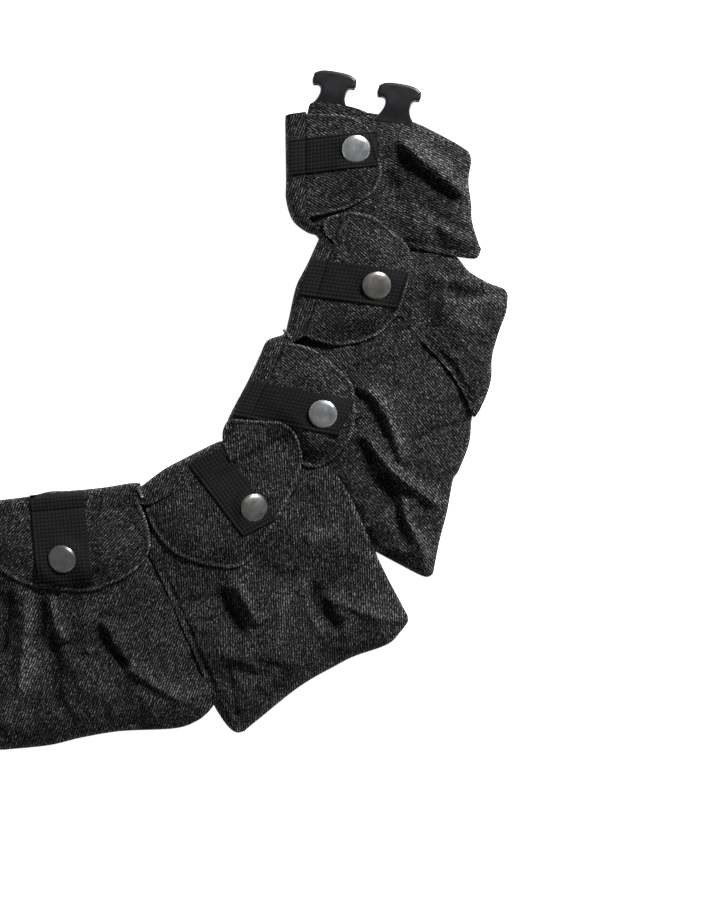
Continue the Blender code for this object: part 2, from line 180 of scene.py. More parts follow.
# Each bag: stretches of its outline (path, height of its edge, width of the slope), going round clockwise
# from the end of its top nearest to pocket 1. Then its folds (path, rise, width on the left, on the right),
# and the direction of its twill.
Bag = namedtuple("Bag", "edges folds twill")
BAGS = {
    1: Bag(
        (
            (((130, 206), (132.5, 211.5), (146, 210.5), (157, 208), (163, 206)), 9.3, 9),
            (((163, 206), (176, 203.5), (188, 201), (206, 192), (216, 186)), 3, 8),
            (((216, 186), (217.5, 181), (216, 170), (217.5, 157), (218, 148), (222.5, 133)), 3, 8),
            (((222.5, 133), (220, 128.5), (209, 129.5)), 5.5, 9),
            (((209, 129.5), (185, 134), (150, 139), (131, 143)), 6, 10),
            (((131, 143), (130, 175), (130, 206)), 9, 8),
        ),
        (
            (((175, 194), (191, 179), (216, 160)), 3.2, 9, 1.5),
            (((173, 191), (188, 176), (212, 157)), -2.6, 1.5, 6),
            (((172, 176), (178, 165)), -2.6, 3, 3),
            (((180, 160), (198, 146), (220, 135)), 1.6, 3.5, 3),
            (((190, 158), (206, 148), (220, 141)), -1.2, 2.5, 2.5),
            (((172, 158), (186, 148), (198, 136)), 1.2, 4, 4),
        ),
        155,
    ),
    2: Bag(
        (
            (((137, 142.5), (150, 141.5), (185, 136), (207, 132)), 3, 12),
            (((207, 132), (210.5, 128.5), (216, 122), (226, 116), (235, 112.5), (237, 109)), 3, 8),
            (((237, 109), (236, 100), (232, 89), (228.5, 76), (228, 64), (224, 52), (218.5, 43.5)), 3.5, 8),
            (((218.5, 43.5), (214.5, 54), (206, 68), (195, 80), (187, 88), (180, 98)), 9, 8),
            (((180, 98), (168, 92), (150, 86), (130, 86)), 7, 8),
            (((130, 86), (133, 110), (137, 142.5)), 9, 8),
        ),
        (
            (((237, 109), (229.5, 107.3), (212, 104.7), (199, 108)), 1.9, 7, 1.6),
            (((226, 111), (214, 109), (203, 112)), -2.6, 1.5, 5),
            (((197, 82), (206, 71), (218.5, 47)), -2.2, 1.4, 3),
            (((190, 121), (203, 117), (222, 117)), 1.2, 4, 4),
            (((188, 112), (196, 98), (197, 88)), -1.0, 4, 4),
            (((204, 99), (214, 92), (228, 90)), 1.0, 5, 5),
        ),
        137,
    ),
    3: Bag(
        (
            (((117, 86), (128, 92), (150, 92), (166, 97), (184, 104), (193, 95), (201, 84)), 2.6, 14),
            (((201, 84), (209, 73), (216, 60), (219, 50), (217.5, 43)), 2.6, 14),
            (((217.5, 43), (216.3, 30), (210.5, 15), (207.8, 11),
              (204.6, -6), (200.5, -22), (197, -40)), 3, 8),
            (((197, -40), (192, -41), (178, -34), (165, -27)), 3, 8),
            (((165, -27), (157, -14), (148, 0), (139, 12), (123, 24), (99, 42)), 2.6, 12),
            (((99, 42), (109, 63), (117, 86)), 9, 8),
        ),
        (
            (((154, 60), (164, 56), (171, 46), (176, 33), (180.5, 17)), 2.4, 6, 1.5),
            (((151, 58), (161, 54), (168, 44), (173, 31)), -2.0, 1.5, 4),
            (((155, 36), (161, 33), (171, 19.5), (181, 10), (188, 5), (203, -6)), 2.8, 5, 1.4),
            (((152, 34), (159, 30), (168, 17), (178, 7), (186, 1)), -2.2, 1.4, 4),
            (((163, 20), (175, 13), (180, 4), (182.5, -8), (192.5, -30), (195, -36)), 2.2, 4, 2),
            (((160, 16), (171, 9), (176, 0), (179, -12), (186, -28)), -1.8, 2, 4),
            (((181, 27), (198, 37), (216, 41.3)), -1.0, 1.3, 1.6),
            (((170, -2), (174, -16), (182, -30)), 1.0, 3, 3),
        ),
        130,
    ),
    4: Bag(
        (
            (((126, 31), (135, 23), (143, 17), (152, 3), (159, -12), (165, -26)), 7, 11),
            (((165, -26), (173.5, -43), (181.5, -58), (184, -64), (180.5, -69.5)), 3, 8),
            (((180.5, -69.5), (173, -77), (155, -83.5), (146, -88),
              (126, -99.5), (104, -117), (96, -123.5)), 3, 8),
            (((96, -123.5), (92, -124), (87, -120), (80, -109), (77, -98)), 5, 8),
            (((77, -98), (65, -71), (53.5, -44.5), (45.5, -27.5), (42, -13), (41, 2)), 9, 8),
            (((41, 2), (64, 9), (89, 22), (126, 31)), 9, 8),
        ),
        (
            (((184, -65), (168.5, -62.5), (146, -55), (138, -51)), 1.6, 1.5, 6),
            (((133, -41), (136, -56), (147, -71)), -3.6, 5, 2),
            (((129, -40), (131, -57), (140, -74)), 1.6, 3, 4),
            (((94, -122), (91, -104), (87, -85)), -1.4, 1.4, 1.6),
            (((84, -44), (88, -58), (97, -73)), -3.0, 2.6, 2.6),
            (((92, -40), (98, -56), (106, -68)), 2.2, 4, 2.5),
            (((150, -14), (140, -19), (128, -22)), 1.6, 4, 5),
            (((47, -27), (61, -56), (84, -108)), -1.1, 1.0, 1.2),
            (((113, -40), (116, -62), (112, -88)), 1.0, 6, 6),
            (((160, -30), (148, -42), (140, -46)), -1.0, 5, 4),
        ),
        92,
    ),
    5: Bag(
        (
            (((43, 2), (47, -16), (51, -27)), 6.2, 17),
            (((51, -27), (61, -42.5), (73, -68.5), (83, -94)), 2.6, 15),
            (((83, -94), (82.5, -105), (77.5, -113)), 2.6, 9),
            (((77.5, -113), (71, -118), (59, -122), (30, -123.5),
              (9, -127), (-8, -131), (-33, -133.5)), 3, 8),
            (((-33, -133.5), (-55, -131.5), (-70, -124), (-77.5, -113)), 3, 8),
            (((-77.5, -113), (-82.5, -105), (-83, -94)), 2.6, 9),
            (((-83, -94), (-73, -68.5), (-61, -42.5), (-51, -27)), 2.6, 15),
            (((-51, -27), (-47, -16), (-43, -4)), 6.2, 17),
            (((-43, -4), (0, -3), (43, 2)), 9, 8),
        ),
        (
            (((77, -112), (55, -102), (36, -90), (29, -86)), 1.8, 1.4, 6),
            (((18, -64), (25, -78), (36, -90)), -3.4, 2, 5),
            (((38, -98), (51, -118)), 1.2, 3, 3),
            (((-19, -46), (-18, -59), (-19, -73), (-23, -106)), 2.6, 4, 3),
            (((-12, -50), (-11, -64), (-13, -76)), -2.8, 2.4, 2.4),
            (((-7, -48), (-3.5, -63), (1, -78)), 2.2, 3, 3),
            (((-8, -68), (-3, -90), (-4, -112)), -2.6, 3, 4),
            (((-9, -80), (-20, -99), (-33, -121)), 2.2, 3, 5),
            (((-27, -46), (-29, -62), (-33, -84)), -2.4, 3, 3),
            (((-77, -112), (-58, -101), (-42, -88)), 1.6, 6, 1.4),
            (((10, -52), (14, -66), (14, -84)), 1.0, 4, 4),
        ),
        70,
    ),
}

# Each flap: its free edge from its end nearest to pocket 1, and the direction of its twill.
FLAPS = {
    1: (
        ((129, 205), (147, 204.5), (156.5, 202), (164, 195), (167, 184), (169.5, 174), (165, 163),
         (153, 155.5), (141, 152), (129, 149.5)),
        150,
    ),
    2: (
        ((144, 137), (138.5, 142), (139.5, 148.5), (146, 151.5), (156, 152.5), (167, 149), (176, 142),
         (183, 135.5), (185.5, 128), (184, 118), (180, 104), (174.5, 94), (165, 86), (149, 82), (139, 83),
         (128, 87)),
        138,
    ),
    3: (
        ((118, 84), (127, 82), (135, 79), (147, 69), (154, 61), (155.5, 49), (153.8, 35), (148, 26),
         (141, 19.5), (133, 17), (125, 20), (119, 28), (111, 36), (100, 43.5)),
        138,
    ),
    4: (
        ((89, 20.5), (85, 33), (88, 42), (98, 42.5), (108, 42), (118, 40.5), (125, 33), (127, 19),
         (120.4, 1.4), (107.5, -20.4), (98.6, -32.5), (91, -36), (82.6, -35.6), (68.1, -32),
         (57.9, -26.9), (49.2, -16.7), (44, -5)),
        94,
    ),
    5: (
        ((41, -1.6), (44.5, -10), (46.5, -19), (46.5, -26), (42.5, -34), (34, -41), (26, -44.5),
         (18, -47.7), (8, -48.5), (-14, -46), (-27, -41), (-35, -34), (-41, -25), (-41.5, -14),
         (-40, -8.8)),
        49,
    ),
}

# Straps: middle and half width at the hinge line, lean, and depth of the end below the hinge line.
Strap = namedtuple("Strap", "middle half lean end")
STRAPS = {
    1: Strap(4.5, 9.5, 0.10, 38.5),
    2: Strap(5.4, 10.2, 0.178, 43.5),
    3: Strap(-5.0, 10.4, 0.25, 46.5),
    4: Strap(-0.5, 10.0, 0.19, 38.0),
    5: Strap(-2.0, 14.5, 0.02, 40.0),
}

# Each snap leans with the cloth round it: direction of the axis it leans about, and how far, in degrees.
SNAP_LEANS = {1: (17, 17), 2: (24, 17), 3: (-21, 12), 4: (72, 20), 5: (-32, 17)}

# Inner edge of the waistband, from the middle pocket to the end of pocket 1, and its left part at pocket 5.
WAIST = (
    ((0, 4.7), (12, 5.6), (24, 7), (36, 9), (41, 8.8)),
    ((41, 7), (53, 16), (64, 22), (79, 29.5), (85, 31.5)),
    ((84.5, 33), (88.5, 45), (98.5, 64), (105, 78), (108.5, 85), (117, 88)),
    ((118.5, 90), (120.3, 98), (124, 114), (130, 126), (136, 139)),
    ((134.5, 141), (129, 143), (122, 149), (118.5, 160), (118.5, 171), (118, 204.5)),
)
WAIST_LEFT = ((-41, -0.6), (-33, 0), (-18, 2), (-8, 4.4), (0, 4.7))


# Paths and surfaces


def smooth_path(points):
    """A dense curve through a few points."""
    nodes = np.array(points, float)
    nodes = np.vstack((2 * nodes[0] - nodes[1], nodes, 2 * nodes[-1] - nodes[-2]))
    t = np.linspace(0, 1, 13)[:-1, None]
    runs = []
    for a, b, c, d in zip(nodes, nodes[1:], nodes[2:], nodes[3:]):
        bend = (2 * a - 5 * b + 4 * c - d) * t**2 + (3 * b - a - 3 * c + d) * t**3
        runs.append(0.5 * (2 * b + (c - a) * t + bend))
    return np.vstack((*runs, nodes[-2]))


def resampled(path, step):
    run = np.concatenate(([0], np.cumsum(np.linalg.norm(np.diff(path, axis=0), axis=1))))
    count = max(2, int(round(run[-1] / step)) + 1)
    places = np.linspace(0, run[-1], count)
    return np.column_stack([np.interp(places, run, path[:, i]) for i in range(path.shape[1])])


def nearest(points, path):
    """Distance from each point to a path, with its side (1 on the left) and its share of the length."""
    best = np.full(len(points), np.inf)
    side = np.ones(len(points))
    share = np.zeros(len(points))
    lengths = np.linalg.norm(np.diff(path, axis=0), axis=1)
    runs = np.concatenate(([0], np.cumsum(lengths)))
    for start, end, length, run in zip(path, path[1:], lengths, runs):
        way = (end - start) / max(length, 1e-9)
        off = points - start
        along = np.clip(off @ way, 0, length)
        gap = np.linalg.norm(off - along[:, None] * way, axis=1)
        closer = gap < best
        best[closer] = gap[closer]
        side[closer] = np.where(way[0] * off[:, 1] - way[1] * off[:, 0] >= 0, 1, -1)[closer]
        share[closer] = ((run + along) / runs[-1])[closer]
    return best, side, share


def inside(points, outline):
    crossings = np.zeros(len(points), int)
    for a, b in zip(outline, np.roll(outline, -1, axis=0)):
        spans = (a[1] > points[:, 1]) != (b[1] > points[:, 1])
        x = a[0] + (points[:, 1] - a[1]) * (b[0] - a[0]) / (b[1] - a[1] + 1e-12)
        crossings += spans & (points[:, 0] < x)
    return crossings % 2 == 1


def line_at(distance, place, width):
    """1 on a line at a distance from an edge, fading out on both of its sides."""
    return np.exp(-(((distance - place) / width) ** 2))


def roped(share, path):
    """Light and dark by turns along a corded edge, where the twill's ridges cross it."""
    length = np.linalg.norm(np.diff(path, axis=0), axis=1).sum()
    return 0.5 + 0.5 * np.sin(2 * math.pi * share * length / ROPE_PITCH)


def ease(share):
    share = np.clip(share, 0, 1)
    return share * share * (3 - 2 * share)


def signed_area(loop):
    after = np.roll(loop, -1, axis=0)
    return np.sum(loop[:, 0] * after[:, 1] - loop[:, 1] * after[:, 0]) / 2


def closed_outline(stretches, step):
    """One counterclockwise loop through open stretches, with its corners eased."""
    runs = [resampled(smooth_path(stretch), step)[:-1] for stretch in stretches]
    loop = np.vstack(runs)
    loop = (np.roll(loop, 1, axis=0) + 2 * loop + np.roll(loop, -1, axis=0)) / 4
    return loop if signed_area(loop) > 0 else loop[::-1]


Panel = namedtuple("Panel", "points faces rim edge")


def panel_of(outline, step, rows=(0.35, 0.9)):
    """A flat triangulated panel, with rows of points along its edge. edge is each point's distance in."""
    ahead = np.roll(outline, -1, axis=0) - np.roll(outline, 1, axis=0)
    inwards = np.column_stack((-ahead[:, 1], ahead[:, 0]))
    inwards /= np.linalg.norm(inwards, axis=1)[:, None] + 1e-9
    loop = np.vstack((outline, outline[:1]))
    low, high = outline.min(axis=0), outline.max(axis=0)
    lines = np.arange(low[1], high[1], step * 0.866)
    grid = []
    for i, y in enumerate(lines):
        across = np.arange(low[0] + (i % 2) * step / 2, high[0], step)
        grid.append(np.column_stack((across, np.full(len(across), y))))
    grid = np.vstack(grid)
    grid = grid[inside(grid, outline)]
    grid = grid[nearest(grid, loop)[0] > rows[-1] + step * 0.55]
    inner = [outline + inwards * row for row in rows]
    inner = [row[nearest(row, loop)[0] > depth * 0.8] for row, depth in zip(inner, rows)]
    verts = np.vstack((outline, *inner, grid))
    edges = [(i, (i + 1) % len(outline)) for i in range(len(outline))]
    found = delaunay_2d_cdt([Vector(point) for point in verts], edges, [], 1, 1e-6)
    points = np.array([tuple(co) for co in found[0]])
    faces = np.array([face for face in found[2] if len(face) == 3])
    a, b, c = (points[faces[:, i]] for i in range(3))
    turn = (b[:, 0] - a[:, 0]) * (c[:, 1] - a[:, 1]) - (b[:, 1] - a[:, 1]) * (c[:, 0] - a[:, 0])
    faces[turn < 0] = faces[turn < 0][:, ::-1]
    directed = {(int(f[i]), int(f[(i + 1) % 3])) for f in faces for i in range(3)}
    rim = [pair for pair in directed if pair[::-1] not in directed]
    return Panel(points, faces, sorted(rim), nearest(points, loop)[0])


def relaxed(panel, values, rounds):
    """Values on a panel's points, averaged with their neighbours' a number of times."""
    pairs = np.vstack([panel.faces[:, [0, 1]], panel.faces[:, [1, 2]], panel.faces[:, [2, 0]]])
    pairs = np.vstack((pairs, pairs[:, ::-1]))
    count = np.bincount(pairs[:, 0], minlength=len(values)) + 1e-9
    for _ in range(rounds):
        mean = np.bincount(pairs[:, 0], weights=values[pairs[:, 1]], minlength=len(values)) / count
        values = (values + mean) / 2
    return values


def rounded_edge(edge, thickness):
    """Half thickness of cloth at a distance from its folded edge."""
    reach = thickness / 2
    share = np.clip(edge / reach, 0, 1)
    return reach * (0.15 + 0.85 * np.sqrt(1 - (1 - share) ** 2))


def shell(panel, top, bottom):
    """Vertices and faces of a closed sheet between two heights over a panel."""
    count = len(panel.points)
    verts = np.vstack((np.column_stack((panel.points, top)), np.column_stack((panel.points, bottom))))
    faces = [tuple(int(i) for i in face) for face in panel.faces]
    faces += [tuple(int(i) + count for i in reversed(face)) for face in panel.faces]
    faces += [(b, a, a + count, b + count) for a, b in panel.rim]
    return verts, faces


class Ground:
    """Surfaces that other cloth rests on."""

    def __init__(self):
        self.verts, self.faces = [], []
        self.tree = None

    def add(self, points, heights, faces, flip=False):
        start = len(self.verts)
        sign = -1 if flip else 1
        self.verts += [(sign * x, y, z) for (x, y), z in zip(points, heights)]
        self.faces += [tuple(int(i) + start for i in face) for face in faces]
        self.tree = None

    def height(self, points, otherwise):
        self.tree = self.tree or BVHTree.FromPolygons(self.verts, self.faces)
        hits = (self.tree.ray_cast(Vector((x, y, 100)), Vector((0, 0, -1)))[0] for x, y in points)
        return np.array([hit.z if hit else otherwise for hit in hits])


# Pockets' frames, read from their hinges


def linked(name, data):
    """A new object in the scene."""
    made = bpy.data.objects.new(name, data)
    bpy.context.scene.collection.objects.link(made)
    return made


def joint_named(name):
    return next(joint for joint in frame["joints"] if joint["name"] == name)


class Hinge:
    """A pocket's frame: x to its right along the hinge line, y up to the waist."""

    def __init__(self, number):
        joint = joint_named(f"flap_{number}_hinge")
        x, y, self.height = (value / MM for value in joint["pos_m"])
        self.place = np.array((x, y))
        self.right = -np.array(joint["axis"][:2])
        self.up = np.array((-self.right[1], self.right[0]))

    def world(self, local):
        return self.place + np.outer(local[:, 0], self.right) + np.outer(local[:, 1], self.up)

    def local(self, points):
        return np.column_stack(((points - self.place) @ self.right, (points - self.place) @ self.up))

    def point(self, x, y, z=0.0):
        return Vector((*(self.place + x * self.right + y * self.up), z))


HINGES = {number: Hinge(number) for number in range(1, POCKET_COUNT + 1)}


def twins(number):
    """The numbers of a drawn pocket and of its mirror image, with whether each one is flipped."""
    other = POCKET_COUNT + 1 - number
    return ((number, False),) if other == number else ((number, False), (other, True))


def twill_of(direction, flip):
    """The twill's direction in a pocket or its twin, which hangs mirrored but is cut from the same cloth."""
    return direction + TWIN_TWILL if flip else direction


def put(name, shape, material, flip=False, twill=0.0, marks=None, cloth=None):
    """Makes an object of a shape in millimetres, and writes the lie of its cloth on its points."""
    verts, faces = shape
    verts = np.array(verts, float)
    if flip:
        verts = verts * (-1, 1, 1)
        faces = [tuple(reversed(face)) for face in faces]
    mesh = bpy.data.meshes.new(name)
    mesh.from_pydata([tuple(co) for co in verts * MM], [], faces)
    mesh.validate()
    if cloth is None:
        angle = math.radians(twill)
        along = verts[:, 0] * math.cos(angle) + verts[:, 1] * math.sin(angle)
        across = verts[:, 1] * math.cos(angle) - verts[:, 0] * math.sin(angle)
        cloth = np.column_stack((along, across, verts[:, 2] * 0.2))
    layer = mesh.attributes.new("cloth", "FLOAT_VECTOR", "POINT")
    layer.data.foreach_set("vector", np.asarray(cloth, np.float32).ravel())
    # Wear and painted shade: lighter along rubbed edges and fold crests, darker as painted shade in fold
    # hollows, grooves and creases.
    worn = mesh.attributes.new("worn", "FLOAT", "POINT")
    worn.data.foreach_set("value", np.asarray(np.zeros(len(verts)) if marks is None else marks, np.float32))
    mesh.materials.append(material)
    mesh.shade_smooth()
    mesh.set_sharp_from_angle(angle=math.radians(50))
    made = linked(name, mesh)
    return made


def fold_cloth(piece, number):
    """Bakes a piece's placement into its points; the hinge line's ends are worked out but not used."""
    hinge = HINGES[number]
    start = hinge.point(0, BLEND_START, hinge.height) * MM
    end = hinge.point(0, BLEND_END, hinge.height) * MM
    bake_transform(piece)


# Materials


class Graph:
    """A short way to write a material's nodes."""

    def __init__(self, name, roughness, metallic=0.0, specular=0.5):
        self.material = bpy.data.materials.new(name)
        self.material.use_nodes = True
        self.tree = self.material.node_tree
        self.shader = self.tree.nodes["Principled BSDF"]
        self.shader.inputs["Roughness"].default_value = roughness
        self.shader.inputs["Metallic"].default_value = metallic
        self.shader.inputs["Specular IOR Level"].default_value = specular

    def give(self, socket, value):
        if isinstance(value, bpy.types.NodeSocket):
            self.tree.links.new(value, socket)
        else:
            socket.default_value = value

    def node(self, kind, inputs=(), **settings):
        made = self.tree.nodes.new(kind)
        for name, value in settings.items():
            setattr(made, name, value)
        for key, value in dict(inputs).items():
            self.give(made.inputs[key], value)
        return made

    def attribute(self, name, output="Vector"):
        return self.node("ShaderNodeAttribute", attribute_name=name).outputs[output]

    def maths(self, operation, a, b=0.0, c=0.0):
        return self.node("ShaderNodeMath", {0: a, 1: b, 2: c}, operation=operation).outputs[0]

    def scaled(self, vector, scale):
        return self.node("ShaderNodeVectorMath", {0: vector, 1: scale}, operation="MULTIPLY").outputs[0]

    def noise(self, vector, scale, detail=2.0, roughness=0.5):
        inputs = {"Vector": vector, "Scale": scale, "Detail": detail, "Roughness": roughness}
        return self.node("ShaderNodeTexNoise", inputs).outputs["Fac"]

    def parts(self, vector):
        return self.node("ShaderNodeSeparateXYZ", {0: vector}).outputs

    def ramp(self, factor, stops):
        made = self.node("ShaderNodeValToRGB", {"Fac": factor})
        elements = made.color_ramp.elements
        while len(elements) < len(stops):
            elements.new(0.5)
        for element, (place, value) in zip(elements, stops):
            element.position = place
            element.color = (*(value if isinstance(value, tuple) else (value,) * 3), 1)
        return made.outputs["Color"]

    def times(self, colour, factor):
        return self.node("ShaderNodeVectorMath", {0: colour, "Scale": factor}, operation="SCALE").outputs[0]

    def finish(self, colour, height=None, depth=0.0001, strength=0.5):
        self.give(self.shader.inputs["Base Color"], colour)
        if height is not None:
            bump = self.node("ShaderNodeBump", {"Height": height, "Distance": depth, "Strength": strength})
            self.give(self.shader.inputs["Normal"], bump.outputs[0])
        return self.material


def denim_material():
    """Black twill: light weft specks between dark diagonal lines, faded along edges and fold crests, with
    painted shade in fold hollows, stitched grooves and hinge creases.
    """
    g = Graph("black_denim", roughness=0.95, specular=0.04)
    cloth = g.attribute("cloth")
    worn = g.attribute("worn", "Fac")
    wander = g.maths("MULTIPLY_ADD", g.noise(cloth, 0.35), 1.1, -0.55)
    across = g.maths("ADD", g.parts(cloth)[1], wander)
    lines = g.maths("SINE", g.maths("MULTIPLY", across, 2 * math.pi / TWILL_PITCH))
    threads = g.noise(g.scaled(cloth, (0.55, 1.5, 1.0)), 1.0, 3.0, 0.8)
    specks = g.noise(g.scaled(cloth, (1.0, 1.7, 1.0)), 1.3, 1.0, 0.5)
    fade = g.maths("MULTIPLY_ADD", g.noise(cloth, 0.05, 4.0, 0.6), 1.3, 0.35)
    mix = g.maths("MULTIPLY_ADD", lines, 0.16, 0.46)
    mix = g.maths("ADD", mix, g.maths("MULTIPLY_ADD", threads, 1.5, -0.75))
    mix = g.maths("ADD", mix, g.maths("MULTIPLY_ADD", specks, 1.0, -0.5))
    mix = g.maths("ADD", mix, g.maths("MULTIPLY", worn, 0.16))
    pale = (0.24, 0.235, 0.22)
    grey = g.ramp(mix, ((0.16, 0.001), (0.42, 0.006), (0.58, 0.022), (0.76, 0.075), (0.95, pale)))
    tone = g.maths("MULTIPLY", fade, g.maths("MULTIPLY_ADD", worn, 0.8, 1.0))
    return g.finish(g.times(grey, g.maths("MULTIPLY", tone, DENIM_BRIGHTNESS)), mix, 0.00025, 0.6)


def webbing_material(name, on_points=True):
    """Black woven strap with a waffle face, laid by the points' own cloth places or in a part's own frame."""
    g = Graph(name, roughness=0.85, specular=0.15)
    place = g.node("ShaderNodeTexCoord").outputs["Object"]
    cloth = g.attribute("cloth") if on_points else g.scaled(place, (1 / MM, 1 / MM, 1 / MM))
    x, y = g.parts(cloth)[0], g.parts(cloth)[1]
    turn = 2 * math.pi / WAFFLE_PITCH
    waves = [g.maths("SINE", g.maths("MULTIPLY", value, turn / 2)) for value in (x, y)]
    weave = g.maths("ABSOLUTE", g.maths("MULTIPLY", *waves))
    fibres = g.noise(g.scaled(cloth, (3.0, 1.0, 1.0)), 2.0, 3.0, 0.7)
    mix = g.maths("ADD", g.maths("MULTIPLY", weave, 0.55), g.maths("MULTIPLY_ADD", fibres, 0.9, -0.2))
    patches = g.maths("MULTIPLY_ADD", g.noise(cloth, 0.12, 2.0), 0.9, 0.55)
    grey = g.ramp(mix, ((0.1, 0.0012), (0.5, 0.0036), (0.9, 0.011)))
    return g.finish(g.times(grey, patches), mix, 0.0003, 0.5)


def snap_material(name, colour, roughness):
    """Satin nickel with fine marks."""
    g = Graph(name, roughness=roughness, metallic=1.0)
    place = g.node("ShaderNodeTexCoord").outputs["Object"]
    marks = g.noise(place, 900.0, 5.0, 0.7)
    clouds = g.noise(place, 230.0, 3.0, 0.6)
    g.give(g.shader.inputs["Roughness"], g.maths("MULTIPLY_ADD", clouds, 0.25, roughness - 0.12))
    tone = g.maths("ADD", g.maths("MULTIPLY", marks, 0.4), g.maths("MULTIPLY", clouds, 0.6))
    dark = tuple(0.55 * value for value in colour)
    return g.finish(g.ramp(tone, ((0.3, dark), (0.65, colour))), marks, 0.00004, 0.35)


def plastic_material():
    """Satin moulded acetal."""
    g = Graph("buckle_acetal", roughness=0.42, specular=0.32)
    place = g.node("ShaderNodeTexCoord").outputs["Object"]
    grain = g.noise(place, 2600.0, 2.0, 0.6)
    clouds = g.noise(place, 140.0, 3.0, 0.6)
    g.give(g.shader.inputs["Roughness"], g.maths("MULTIPLY_ADD", clouds, 0.2, 0.24))
    grey = g.ramp(clouds, ((0.3, (0.0045, 0.0047, 0.0055)), (0.7, (0.008, 0.0084, 0.0098))))
    return g.finish(grey, grain, 0.00004, 0.5)


def floor_material():
    g = Graph("pale_floor", roughness=0.9, specular=0.0)
    place = g.node("ShaderNodeTexCoord").outputs["Object"]
    white = g.ramp(g.noise(place, 3.0, 2.0), ((0.0, 0.93), (1.0, 0.97)))
    g.shader.inputs["Emission Color"].default_value = (1, 1, 1, 1)
    g.shader.inputs["Emission Strength"].default_value = FLOOR_GLOW
    return g.finish(white)


# Bags


def soft_least(heights, softness):
    heights = np.array(heights)
    least = heights.min(axis=0)
    return least - softness * np.log(np.exp(-(heights - least) / softness).sum(axis=0))


def fold_height(points, folds):
    """Sum of listed folds, each one fading out towards its ends."""
    total = np.zeros(len(points))
    for path, rise, left, right in folds:
        gap, side, share = nearest(points, smooth_path(path))
        width = np.where(side > 0, left, right)
        fade = ease(share / 0.25) * ease((1 - share) / 0.12)
        crest = 0.55 * np.exp(-1.3 * gap / width) + 0.45 * np.exp(-((gap / width) ** 2))
        total += FOLD_DEPTH * rise * fade * crest
    return total


def wrinkles(points, seed):
    """Slight unevenness of cloth that has been folded and worn."""
    heights = []
    for x, y in points:
        coarse = noise.noise(Vector((x / 17, y / 23, seed)))
        fine = noise.noise(Vector((x / 7, y / 9, seed + 5)))
        heights.append(0.9 * coarse + 0.45 * fine)
    return np.array(heights)


BagShape = namedtuple("BagShape", "panel top bottom worn")


def bag_shape(number):
    bag = BAGS[number]
    hinge = HINGES[number]
    outline = closed_outline([path for path, _, _ in bag.edges], BAG_STEPS[0])
    panel = panel_of(outline, BAG_STEPS[1])
    gaps = [nearest(panel.points, smooth_path(path))[0] for path, _, _ in bag.edges]
    rims = [rim for _, rim, _ in bag.edges]
    rises = [
        rim + (CROWN - rim) * (1 - np.exp(-gap / width)) for gap, (_, rim, width) in zip(gaps, bag.edges)
    ]
    loop = np.vstack((outline, outline[:1]))
    rope = roped(nearest(panel.points, loop)[2], loop)
    below = -hinge.local(panel.points)[:, 1]
    under_flap = hinge.height - STUD_ROOM + math.tan(FLAP_PITCH) * below
    top = soft_least([*rises, np.maximum(under_flap, LOWEST_COVERED)], 0.8)
    shown = ease((below - SHOWN_START) / SHOWN_WIDTH)
    folds = relaxed(panel, fold_height(panel.points, bag.folds), 1)
    uneven = wrinkles(panel.points, number) * (0.3 + 0.7 * shown)
    top += (1 - np.exp(-panel.edge / 2.5)) * (folds * shown + uneven)
    hem = line_at(panel.edge, *BAG_HEM)
    cord = line_at(panel.edge, *BAG_CORD)
    top += ((0.15 + 0.25 * rope) * cord - 0.45 * hem) * shown
    top = settled(panel, top, below)
    top = np.maximum(top, LOWEST_TOP)
    lift = np.zeros(len(panel.points))
    for gap, rim in zip(gaps, rims):
        lift = np.maximum(lift, (rim - SEAM_CLOTH - TABLE_GAP) * np.exp(-gap / 5.0))
    bottom = np.minimum(TABLE_GAP + lift, top - THINNEST_BAG)
    worn = (0.3 + 0.8 * rope) * np.exp(-panel.edge / 1.4)
    # Lighter along fold crests, and painted shade in the fold hollows.
    worn = worn + 0.16 * np.clip(folds, 0, 2.5) - 0.10 * np.clip(-folds, 0, 3)
    return BagShape(panel, top, bottom, worn * shown)


def open_mouth(bag, hinge, left, right):
    """Cuts the front panel away under the flap, between two places along the hinge line."""
    cloth = bmesh.new()
    cloth.from_mesh(bag.data)
    planes = (
        (hinge.point(0, -MOUTH), hinge.up),
        (hinge.point(left, 0), hinge.right),
        (hinge.point(right, 0), hinge.right),
    )
    for place, way in planes:
        front = [face for face in cloth.faces if face.normal.z > 0.05]
        parts = list({part for face in front for part in (*face.verts, *face.edges)}) + front
        bmesh.ops.bisect_plane(cloth, geom=parts, dist=1e-6, plane_co=place * MM, plane_no=Vector((*way, 0)))
    gone = []
    for face in cloth.faces:
        centre = face.calc_center_median() / MM
        x, y = hinge.local(np.array([centre[:2]]))[0]
        if face.normal.z > 0.05 and centre.z > 2.5 and left < x < right and y > -MOUTH:
            gone.append(face)
    bmesh.ops.delete(cloth, geom=gone, context="FACES")
    cloth.to_mesh(bag.data)
    cloth.free()


